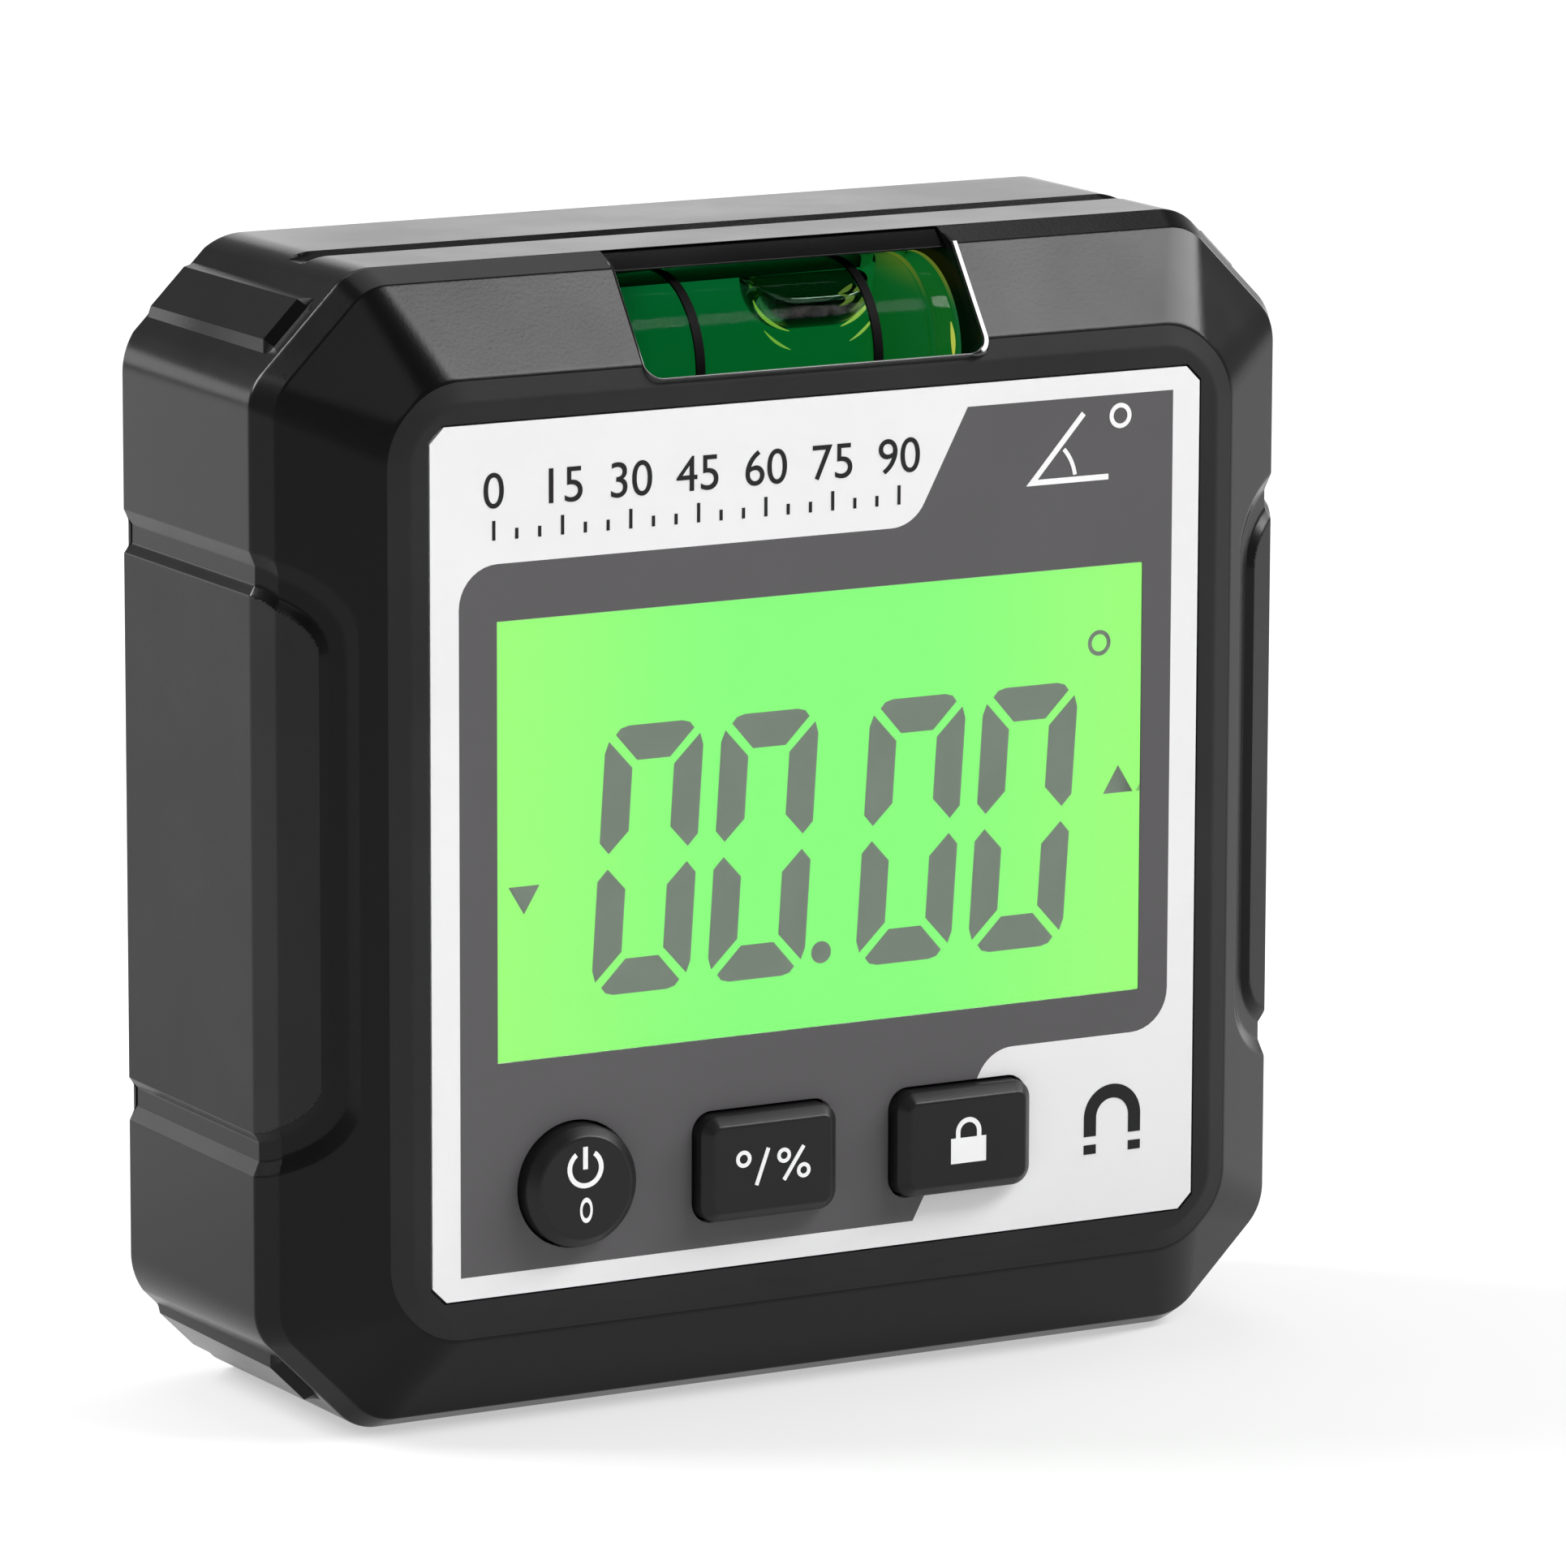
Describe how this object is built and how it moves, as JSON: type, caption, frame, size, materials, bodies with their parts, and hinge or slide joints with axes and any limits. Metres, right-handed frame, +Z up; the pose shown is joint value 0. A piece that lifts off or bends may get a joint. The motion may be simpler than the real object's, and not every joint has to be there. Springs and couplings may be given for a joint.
{
  "type": "digital angle gauge",
  "caption": "Square magnetic level box with a chamfered black case, a lit digital angle display, push keys and a bubble vial in the top bevel; it reads the tilt of the surface it stands on.",
  "frame": {"origin": "middle of the base, halfway between the fronts of the keys and the back", "axes": "+X right as the display is read, +Y from the display to the back, +Z up from the base"},
  "size_m": [0.06, 0.0216, 0.06],
  "materials": {
    "black_plastic": "satin black moulded plastic",
    "face_white": "white face plate",
    "field_grey": "dark grey field inlaid in the face plate",
    "clear_window": "clear window",
    "display": "green lit display glass",
    "backlight": "white light guide",
    "contact_rubber": "grey contact rubber",
    "board": "green solder mask",
    "chip": "black chip resin",
    "key_plastic": "soft black key",
    "steel": "plated steel",
    "vial_clear": "clear moulded vial",
    "vial_liquid": "green liquid",
    "cell_jacket": "printed cell jacket",
    "contact_metal": "plated sheet contact"
  },
  "bodies": {
    "case": {"housing": "black_plastic", "rear_cover": "black_plastic", "battery_door": "black_plastic", "battery_door_screw": "steel", "case_screws": "steel", "face_plate": "face_white", "face_field": "field_grey", "display_window": "clear_window", "lcd_glass": "display", "backlight_panel": "backlight", "backlight_lamp": "backlight", "contact_strip": "contact_rubber", "main_board": "board", "board_screws": "steel", "tilt_sensor": "chip", "controller_chip": "chip", "power_switch": "steel", "unit_switch": "steel", "hold_switch": "steel", "vial_tube": "vial_clear", "vial_liquid": "vial_liquid", "vial_plug": "vial_clear", "vial_retainer": "black_plastic", "left_magnet": "steel", "right_magnet": "steel", "upper_cell": "cell_jacket", "lower_cell": "cell_jacket", "positive_contact": "contact_metal", "negative_contact": "contact_metal", "bridge_contact": "contact_metal", "upper_spring": "steel", "lower_spring": "steel"},
    "power_key": {"power_button": "key_plastic", "power_plunger": "chip"},
    "unit_key": {"unit_button": "key_plastic", "unit_plunger": "chip"},
    "hold_key": {"hold_button": "key_plastic", "hold_plunger": "chip"}
  },
  "joints": [
    {"name": "power_press", "type": "slide", "parent": "case", "child": "power_key", "axis": [0, 1, 0], "range_m": [0, 0.0004], "stiffness_N_per_m": 1500},
    {"name": "unit_press", "type": "slide", "parent": "case", "child": "unit_key", "axis": [0, 1, 0], "range_m": [0, 0.0004], "stiffness_N_per_m": 1500},
    {"name": "hold_press", "type": "slide", "parent": "case", "child": "hold_key", "axis": [0, 1, 0], "range_m": [0, 0.0004], "stiffness_N_per_m": 1500}
  ]
}
